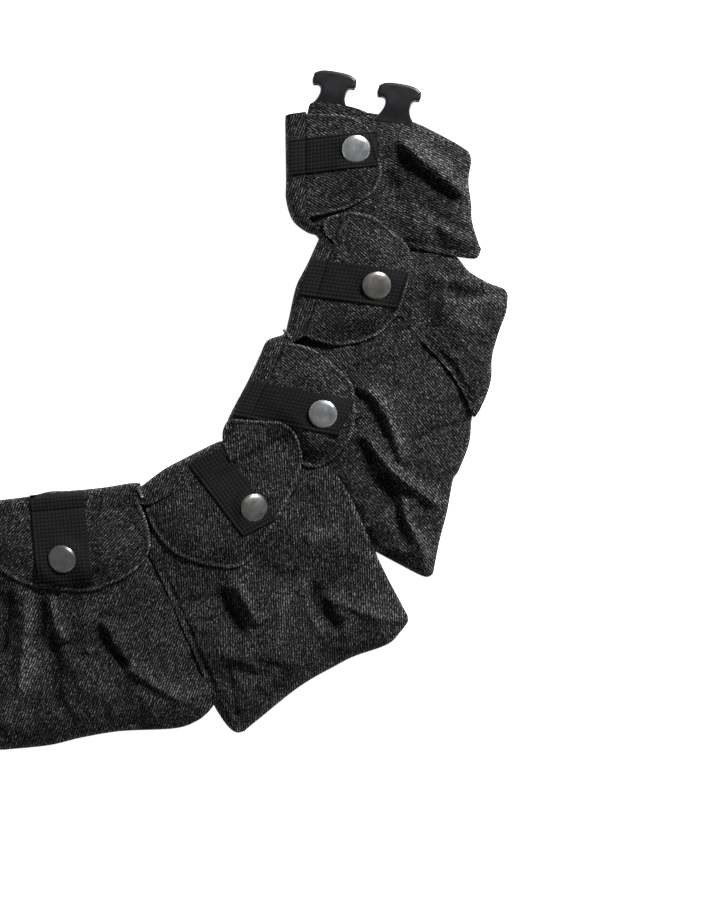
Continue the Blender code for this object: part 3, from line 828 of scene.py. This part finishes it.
def settled(panel, top, below):
    """Lets the front panel, cut slightly too large for its seams, buckle into its own wrinkles."""
    mesh = bpy.data.meshes.new("settling")
    verts = np.column_stack((panel.points, top)) * SETTLE_SCALE
    mesh.from_pydata([tuple(co) for co in verts], [], [tuple(int(i) for i in face) for face in panel.faces])
    cloth = linked("settling", mesh)
    held = cloth.vertex_groups.new(name="held")
    held.add([i for i in range(len(top)) if panel.edge[i] < SEWN or below[i] < HELD_TOP], 1.0, "ADD")
    solver = cloth.modifiers.new("cloth", "CLOTH")
    settings = solver.settings
    settings.vertex_group_mass = "held"
    settings.effector_weights.gravity = 0.0
    settings.shrink_min = settings.shrink_max = -SLACK
    settings.quality = 5
    settings.mass = 0.3
    settings.tension_stiffness = settings.compression_stiffness = 20.0
    settings.shear_stiffness = 5.0
    settings.bending_stiffness = 0.3
    settings.air_damping = 2.0
    solver.collision_settings.use_collision = False
    scene = bpy.context.scene
    for step in range(1, SETTLE_FRAMES + 1):
        scene.frame_set(step)
    found = cloth.evaluated_get(bpy.context.evaluated_depsgraph_get()).data
    moved = np.array([vert.co.z for vert in found.vertices]) / SETTLE_SCALE - top
    bpy.data.objects.remove(cloth)
    scene.frame_set(1)
    return top + relaxed(panel, np.clip(moved, -SETTLE_REACH, SETTLE_REACH), 1)


def build_bag(number, shape, material):
    """A pouch of two panels, open at its mouth below the flap."""
    verts, faces = shell(shape.panel, shape.top, shape.bottom)
    marks = np.concatenate((shape.worn, shape.worn * 0.3))
    for target, flip in twins(number):
        name = f"pocket_{target}_pouch"
        twill = twill_of(BAGS[number].twill, flip)
        bag = put(name, (verts, faces), material, flip, twill, marks)
        left, right = MOUTHS[number]
        if flip:
            left, right = -right, -left
        open_mouth(bag, HINGES[target], left, right)
        thick = bag.modifiers.new("cloth", "SOLIDIFY")
        thick.thickness = BAG_CLOTH * MM
        thick.offset = -1.0
        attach(bag, "belt")
        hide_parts(f"pocket_{target}_bag")


# Flaps, straps and waistband


def lean_of(number, points, place):
    """How far the cloth round a snap tips, with the snap."""
    way, degrees = SNAP_LEANS[number]
    across = np.array((-math.sin(math.radians(way)), math.cos(math.radians(way))))
    off = points - place
    reach = np.linalg.norm(off, axis=1)
    return math.tan(math.radians(degrees)) * (off @ across) * (1 - ease((reach - 5) / 8))


def snap_place(number):
    low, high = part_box(f"pocket_{number}_snap_cap")
    return (np.array(low[:2]) + np.array(high[:2])) / 2 / MM


def flap_outline(path):
    return closed_outline([path, (path[-1], path[0])], FLAP_STEPS[0])


def flap_shape(number, ground):
    """The cloth of a flap that rests on the ground along its free edge and bulges over the snap's stud."""
    path, _ = FLAPS[number]
    hinge = HINGES[number]
    free = smooth_path(path)
    panel = panel_of(flap_outline(path), FLAP_STEPS[1], FLAP_ROWS)
    gap, _, share = nearest(panel.points, free)
    rope = roped(share, free)
    below = -hinge.local(panel.points)[:, 1]
    plane = hinge.height + FLAP_CLOTH + math.tan(FLAP_PITCH) * below
    rest = ground.height(panel.points, BARE_GROUND) + FLAP_CLOTH + CLOTH_GAP
    rest = np.maximum(rest, BAND_TOP - 0.06 * np.clip(below, 0, 60))
    rest = relaxed(panel, rest, 25)
    top = rest + (np.maximum(plane, rest) - rest) * ease(gap / 15)
    top += lean_of(number, panel.points, snap_place(number))
    top += 0.5 * wrinkles(panel.points, number + 30) * ease(below / 8)
    cord = line_at(gap, *FLAP_CORD)
    groove = line_at(gap, *FLAP_GROOVE)
    top += ((0.25 + 0.25 * rope) * cord - 0.4 * groove) * ease(np.abs(below) / 4)
    half = rounded_edge(panel.edge, FLAP_CLOTH)
    # Lighter along the rubbed free edge; painted shade along the stitched groove and in the crease at the
    # hinge line.
    worn = (0.3 + 0.9 * rope) * line_at(gap, 0, 1.3) - 0.25 * groove - 0.5 * line_at(below, 0, 1.1)
    middle = top - FLAP_CLOTH / 2
    return panel, middle + half, middle - half, worn


def build_flap(number, shape, material):
    panel, top, bottom, worn = shape
    path, twill = FLAPS[number]
    loop = flap_outline(path)
    local = HINGES[number].local(loop)
    cloth = shell(panel, top, bottom)
    marks = np.concatenate((worn, worn))
    for target, flip in twins(number):
        name = f"pocket_{target}_flap_cloth"
        flap = put(name, cloth, material, flip, twill_of(twill, flip), marks)
        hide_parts(f"pocket_{target}_flap")
        fold_cloth(flap, target)


def build_strap(number, ground, material):
    """The webbing that runs from the waist over the flap, with its ribs and its sewn edges."""
    strap = STRAPS[number]
    hinge = HINGES[number]
    rows = np.arange(-STRAP_RISE, strap.end + 0.01, STRAP_STEP)
    columns = np.linspace(-strap.half, strap.half, int(2 * strap.half / STRAP_STEP) + 1)
    down, across = (grid.ravel() for grid in np.meshgrid(rows, columns, indexing="ij"))
    local = np.column_stack((strap.middle + across + strap.lean * down, -down))
    points = hinge.world(local)
    height = ground.height(points, BAND_TOP).reshape(len(rows), len(columns))
    for _ in range(3):
        padded = np.pad(height, 1, mode="edge")
        around = padded[:-2, 1:-1] + padded[2:, 1:-1] + padded[1:-1, :-2] + padded[1:-1, 2:]
        height = np.maximum(height, (height + around / 4) / 2)
    height = height.ravel()
    edge = np.minimum(strap.half - np.abs(across), np.minimum(strap.end - down, down + STRAP_RISE + 3))
    turn = 2 * math.pi / WAFFLE_PITCH
    waffle = 0.4 * np.abs(np.sin(turn * across / 2) * np.sin(turn * down / 2)) - 0.2
    stitch = 0.35 * line_at(edge, *STRAP_STITCH)
    crease = 0.5 * line_at(down, 0, 0.9)
    half = rounded_edge(edge, STRAP_CLOTH)
    middle = height + 0.15 + STRAP_CLOTH / 2
    top = middle + half + (waffle - stitch) * ease(edge / 1.2) - crease
    bottom = middle - half
    count = len(columns)
    faces = []
    for i in range(len(rows) - 1):
        for j in range(count - 1):
            a = i * count + j
            faces.append((a, a + count, a + count + 1, a + 1))
    total = len(points)
    faces += [tuple(i + total for i in reversed(face)) for face in faces]
    last = total - count
    ring = [*range(count), *(i * count + count - 1 for i in range(1, len(rows)))]
    ring += [*range(total - 2, last - 1, -1), *(i * count for i in range(len(rows) - 2, 0, -1))]
    faces += [(a, b, b + total, a + total) for a, b in zip(ring, ring[1:] + ring[:1])]
    verts = np.vstack((np.column_stack((points, top)), np.column_stack((points, bottom))))
    cloth = np.column_stack((across, down, np.zeros(total)))
    for target, flip in twins(number):
        name = f"pocket_{target}_strap"
        piece = put(name, (verts, faces), material, flip, cloth=np.vstack((cloth, cloth)))
        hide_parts(f"pocket_{target}_flap_strap")
        fold_cloth(piece, target)
    return points, top, [face for face in faces if max(face) < total]


def waist_edges():
    """The waistband's inner edge and its edge along the hinge lines, both from left to right."""
    ends = {4: (-40, 8), 3: (-29, 26), 2: (-26, 24), 1: (-27, 28)}
    right = [HINGES[number].point(x, -0.4)[:2] for number, pair in ends.items() for x in pair]
    middle = [HINGES[DRAWN].point(x, -0.4)[:2] for x in (-40, 40)]
    outer = [(-x, y) for x, y in reversed(right)] + middle + right
    side = [point for path in WAIST[1:] for point in smooth_path(path)]
    inner = [(-x, y) for x, y in reversed(side)] + list(smooth_path(WAIST_LEFT)) + list(smooth_path(WAIST[0]))
    return np.array(inner + side), np.array([tuple(point) for point in outer])


def build_waistband(material):
    inner, outer = waist_edges()
    run = resampled(np.vstack((outer, inner[::-1], outer[:1])), BAND_STEPS[0])[:-1]
    if signed_area(run) < 0:
        run = run[::-1]
    panel = panel_of(run, BAND_STEPS[1], BAND_ROWS)
    gap = nearest(panel.points, inner)[0]
    share = np.clip(gap / 4.5, 0, 1)
    top = 3.0 + (BAND_TOP - 3.0) * np.sqrt(1 - (1 - share) ** 2)
    top += 0.35 * wrinkles(panel.points, 60) * share - 0.35 * line_at(gap, *BAND_SEAM)
    bottom = 0.4 + 1.6 * np.exp(-panel.edge / 1.2)
    worn = 0.5 * line_at(gap, 0, 1.6)
    marks = np.concatenate((worn, worn))
    band = put("waistband_cloth", shell(panel, top, bottom), material, twill=70, marks=marks)
    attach(band, "belt")
    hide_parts("waistband")
    return panel, top


def build_tacks(material):
    """Short rows of thread that hold the corners of neighbouring flaps to the waistband."""
    profile = [(0.9 * math.sin(a), 0.75 * math.cos(a)) for a in np.linspace(0.05, math.pi - 0.05, 8)]
    bead, bead_faces = turned(profile, steps=10)
    marks = np.full(len(bead) * TACK_THREADS, 1.1)
    for i, (x, y, z, way) in enumerate(TACKS):
        along = np.array((math.cos(math.radians(way)), math.sin(math.radians(way)), 0.0))
        verts, faces = [], []
        for place in np.linspace(-TACK_LENGTH / 2, TACK_LENGTH / 2, TACK_THREADS):
            start = len(verts) * len(bead)
            verts.append(bead + along * place + (x, y, z))
            faces += [tuple(k + start for k in face) for face in bead_faces]
        for flip in (False, True):
            side = "far" if flip else "near"
            tack = put(f"tack_{i}_{side}", (np.vstack(verts), faces), material, flip, marks=marks)
            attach(tack, "belt")


# Snaps


def turned(profile, steps=48):
    """A profile of (radius, height) points, from its top to its bottom, turned about its axis."""
    verts, faces = [], []
    for radius, height in profile:
        for step in range(steps):
            angle = 2 * math.pi * step / steps
            verts.append((radius * math.cos(angle), radius * math.sin(angle), height))
    for i in range(len(profile) - 1):
        for j in range(steps):
            k = (j + 1) % steps
            faces.append((i * steps + j, (i + 1) * steps + j, (i + 1) * steps + k, i * steps + k))
    faces.append(tuple(range(steps)))
    faces.append(tuple(reversed(range((len(profile) - 1) * steps, len(profile) * steps))))
    return np.array(verts), faces


def cap_profile():
    dome = [(7.1 * math.sin(a), 0.5 + 1.6 * math.cos(a)) for a in np.linspace(0.04, 1.45, 14)]
    rim = [(7.25, 0.62), (7.5, 0.4), (7.55, 0.1), (7.4, -0.15), (6.9, -0.25)]
    post = [(2.2, -0.3), (2.2, -4.1), (2.9, -4.3), (4.6, -4.35), (4.8, -4.6), (4.8, -5.9), (4.6, -6.1)]
    return dome + rim + post + [(3.2, -6.1), (3.0, -5.9), (3.0, -4.9), (0.1, -4.8)]


def stud_profile():
    return [(0.1, 1.9), (1.3, 1.85), (1.75, 1.5), (1.75, 1.1), (1.5, 0.7), (1.6, 0.45), (4.4, 0.35),
            (4.8, 0.15), (4.8, -0.4), (0.1, -0.5)]


def build_snap(number, ground, metal):
    """The cap with its post and socket, leaning with the cloth round it, and the stud on the bag."""
    place = snap_place(number)
    way, degrees = SNAP_LEANS[number]
    axis = Vector((math.cos(math.radians(way)), math.sin(math.radians(way)), 0))
    lean = Matrix.Rotation(math.radians(degrees), 3, axis)
    around = [place + 6.5 * np.array((math.cos(a), math.sin(a))) for a in np.linspace(0, 2 * math.pi, 12)]
    seat = float(np.mean(ground.height(around, USUAL_SEAT))) + SNAP_SEAT
    cap, cap_faces = turned(cap_profile())
    cap = np.array([lean @ Vector(point) for point in cap]) + (*place, seat)
    stud, stud_faces = turned(stud_profile())
    low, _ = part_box(f"pocket_{number}_snap_stud")
    stud = stud + (*place, low[2] / MM + 0.9)
    for target, flip in twins(number):
        piece = put(f"pocket_{target}_snap_dome", (cap, cap_faces), metal, flip)
        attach(piece, f"flap_{target}")
        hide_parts(f"pocket_{target}_snap_cap")
        piece = put(f"pocket_{target}_snap_knob", (stud, stud_faces), metal, flip)
        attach(piece, "belt")
        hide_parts(f"pocket_{target}_snap_stud")


# Buckles


def moulded(outline, half, radius, thinned=0.0):
    """A flat moulding between two rounded faces, thinned towards its base."""
    panel = panel_of(outline, BUCKLE_STEPS[1], (radius * 0.1, radius * 0.3, radius * 0.6, radius))
    share = np.clip(panel.edge / radius, 0, 1)
    top = half - radius + radius * np.sqrt(1 - (1 - share) ** 2)
    top *= 1 - thinned * ease((1.0 - panel.points[:, 1]) / 11)
    return shell(panel, top, -top)


def bent_paths(*paths):
    return closed_outline(paths, BUCKLE_STEPS[0])


def socket_outline():
    head = ((-11.5, 8.4), (-8.5, 10.2), (-4, 11), (4, 11), (8.5, 10.2), (11.5, 8.4))
    right = ((11.5, 8.4), (11.7, 5.0), (10.9, 3.3))
    window = (
        (10.9, 3.3), (8.7, 3.4), (7.3, 2.0), (6.9, -1.0),
        (7.1, -3.2), (8.2, -5.6), (9.8, -8.0), (10.7, -11.0),
    )
    base = ((10.7, -11.0), (-10.7, -11.0))
    left = ((-10.7, -11.0), (-9.8, -8.0), (-8.2, -5.6), (-7.1, -3.2), (-6.6, -1.0), (-7.0, 1.6), (-8.4, 2.6),
            (-10.9, 2.2))
    cheek = ((-10.9, 2.2), (-11.8, 4.2), (-11.5, 8.4))
    return bent_paths(head, right, window, base, left, cheek)


def plug_outline():
    base = ((11, 0.4), (11, -11), (-11, -11), (-11, 0.4))
    neck = (
        (-11, 0.4), (-3.4, 0.5), (-1.9, 2.0), (-1.7, 12.6), (-0.9, 13.5),
        (0.9, 13.5), (1.7, 12.6), (1.9, 2.0), (3.4, 0.5), (11, 0.4),
    )
    return bent_paths(base[:2], base[1:3], base[2:], neck)


def prong_outline(way):
    outer = (
        (1.3, 0), (1.5, 3.5), (2.6, 6.3), (3.6, 8.2), (3.0, 10.6), (1.8, 12.6), (0.3, 13.6), (-0.6, 13.3),
    )
    inner = ((-0.6, 13.3), (-0.9, 9), (-1.0, 5), (-1.2, 0))
    return bent_paths([(way * x, y) for x, y in outer], [(way * x, y) for x, y in inner],
                      [(-1.2 * way, 0), (1.3 * way, 0)])


def placed(shape, matrix):
    verts, faces = shape
    return np.array([matrix @ Vector(vert) for vert in verts]), faces


def carve(piece, boxes, matrix):
    """Cuts boxes (low corner, high corner) out of a piece, in a buckle's own frame."""
    for low, high in boxes:
        block = bmesh.new()
        bmesh.ops.create_cube(block, size=1.0)
        size = Vector(high) - Vector(low)
        middle = (Vector(high) + Vector(low)) / 2
        for vert in block.verts:
            vert.co = matrix @ (middle + vert.co * size) * MM
        mesh = bpy.data.meshes.new("cutter")
        block.to_mesh(mesh)
        block.free()
        cutter = linked("cutter", mesh)
        cut = piece.modifiers.new("cut", "BOOLEAN")
        cut.operation = "DIFFERENCE"
        cut.object = cutter
        found = piece.evaluated_get(bpy.context.evaluated_depsgraph_get())
        result = bpy.data.meshes.new_from_object(found)
        piece.modifiers.clear()
        piece.data = result
        bpy.data.objects.remove(cutter)
    piece.data.shade_smooth()
    piece.data.set_sharp_from_angle(angle=math.radians(40))


def buckle_frame(joint_name, reach):
    """A buckle's frame from its swing joint: x along the bar, y towards its mouth."""
    joint = joint_named(joint_name)
    place = Vector(joint["pos_m"]) / MM
    x = Vector(joint["axis"]).normalized()
    y = Vector((-x.y, x.x, 0))
    turn = Matrix((x, y, Vector((0, 0, 1)))).transposed().to_4x4()
    return Matrix.Translation(place + y * reach) @ turn


def webbing_tongue():
    """The end of the webbing, from under a socket's base into the hem of the bag."""
    low, high = TONGUE_ENDS
    corners = ((-TONGUE_HALF, low), (TONGUE_HALF, low), (TONGUE_HALF, high), (-TONGUE_HALF, high))
    outline = closed_outline(list(zip(corners, corners[1:] + corners[:1])), TONGUE_STEPS[0])
    panel = panel_of(outline, TONGUE_STEPS[1])
    ribs = 0.12 * np.sin(2 * math.pi / WAFFLE_PITCH * panel.points[:, 0])
    half = rounded_edge(panel.edge, TONGUE_CLOTH)
    return shell(panel, TONGUE_LEVEL + half + ribs * ease(panel.edge), TONGUE_LEVEL - half)


def build_buckles(plastic, webbing):
    for position in ("upper", "lower"):
        here = buckle_frame(f"socket_{position}_swing", BAR_TO_MIDDLE)
        shape = placed(moulded(socket_outline(), SOCKET_HALF, 1.5, SOCKET_THINNED), here)
        socket = put(f"socket_shell_{position}", shape, plastic)
        carve(socket, SOCKET_CUTS, here)
        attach(socket, f"socket_{position}")
        tab = put(f"socket_webbing_{position}", placed(webbing_tongue(), here), webbing)
        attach(tab, "belt")
        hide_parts(f"socket_tab_{position}")
        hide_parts(f"buckle_socket_{position}")
        here = buckle_frame(f"plug_{position}_swing", BAR_TO_MIDDLE)
        shape = placed(moulded(plug_outline(), PLUG_HALF, 0.7), here)
        plug = put(f"plug_body_{position}", shape, plastic)
        carve(plug, PLUG_CUTS, here)
        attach(plug, f"plug_{position}")
        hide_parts(f"buckle_plug_{position}")
        for side, way in (("left", -1), ("right", 1)):
            root = here @ Matrix.Translation((way * PRONG_ROOT[0], PRONG_ROOT[1], 0))
            shape = placed(moulded(prong_outline(way), PRONG_HALF, 0.6), root)
            prong = put(f"plug_prong_{position}_{side}", shape, plastic)
            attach(prong, f"plug_{position}_{side}_prong")
            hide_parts(f"buckle_plug_{position}_{side}_prong")


# Stage


def build_key_light():
    light = bpy.data.lights.new("key", "AREA")
    light.shape = "DISK"
    light.size = KEY_SIZE
    light.energy = KEY_POWER
    lamp = linked("key", light)
    lamp.location = KEY_PLACE
    lamp.rotation_euler = (Vector(KEY_TARGET) - Vector(KEY_PLACE)).to_track_quat("-Z", "Y").to_euler()


def build_stage():
    bpy.ops.mesh.primitive_plane_add(size=FLOOR_SIZE, location=(0, 0, 0))
    floor = bpy.context.object
    floor.name = "floor"
    floor.data.materials.append(floor_material())
    world = bpy.data.worlds.new("studio")
    world.use_nodes = True
    world.node_tree.nodes["Background"].inputs["Color"].default_value = (1, 1, 1, 1)
    world.node_tree.nodes["Background"].inputs["Strength"].default_value = SKY_LIGHT
    bpy.context.scene.world = world
    build_key_light()
    bpy.context.scene.view_settings.view_transform = "Standard"


def build_camera():
    camera = linked("camera", bpy.data.cameras.new("camera"))
    camera.location = Vector((*VIEW_CENTRE, CAMERA_HEIGHT)) * MM
    camera.data.sensor_width = SENSOR
    camera.data.lens = SENSOR * (CAMERA_HEIGHT - CROWN) / VIEW_HEIGHT
    camera.data.clip_start = 0.01
    bpy.context.scene.camera = camera


def main():
    build_camera()
    build_stage()
    denim = denim_material()
    webbing = webbing_material("black_webbing")
    loops = webbing_material("black_loop_webbing", on_points=False)
    plastic = plastic_material()
    shapes = {number: bag_shape(number) for number in range(1, DRAWN + 1)}
    bags = Ground()
    for number, shape in shapes.items():
        for _, flip in twins(number):
            bags.add(shape.panel.points, shape.top, shape.panel.faces, flip)
        build_bag(number, shape, denim)
    band, band_top = build_waistband(denim)
    build_tacks(denim)
    for number in range(1, DRAWN + 1):
        shape = flap_shape(number, bags)
        if number == OVERLAPPED:
            bags.add(shape[0].points, shape[1], shape[0].faces)
            bags.add(band.points, band_top, band.faces)
        build_flap(number, shape, denim)
        cover = Ground()
        cover.add(band.points, band_top, band.faces)
        cover.add(shape[0].points, shape[1], shape[0].faces)
        points, top, faces = build_strap(number, cover, webbing)
        cover.add(points, top, faces)
        build_snap(number, cover, snap_material(*SNAP_LOOKS[number]))
    build_buckles(plastic, webbing)
    for node in frame["nodes"].values():
        if not node.hide_render:
            node.data.materials.clear()
            node.data.materials.append(loops)


main()
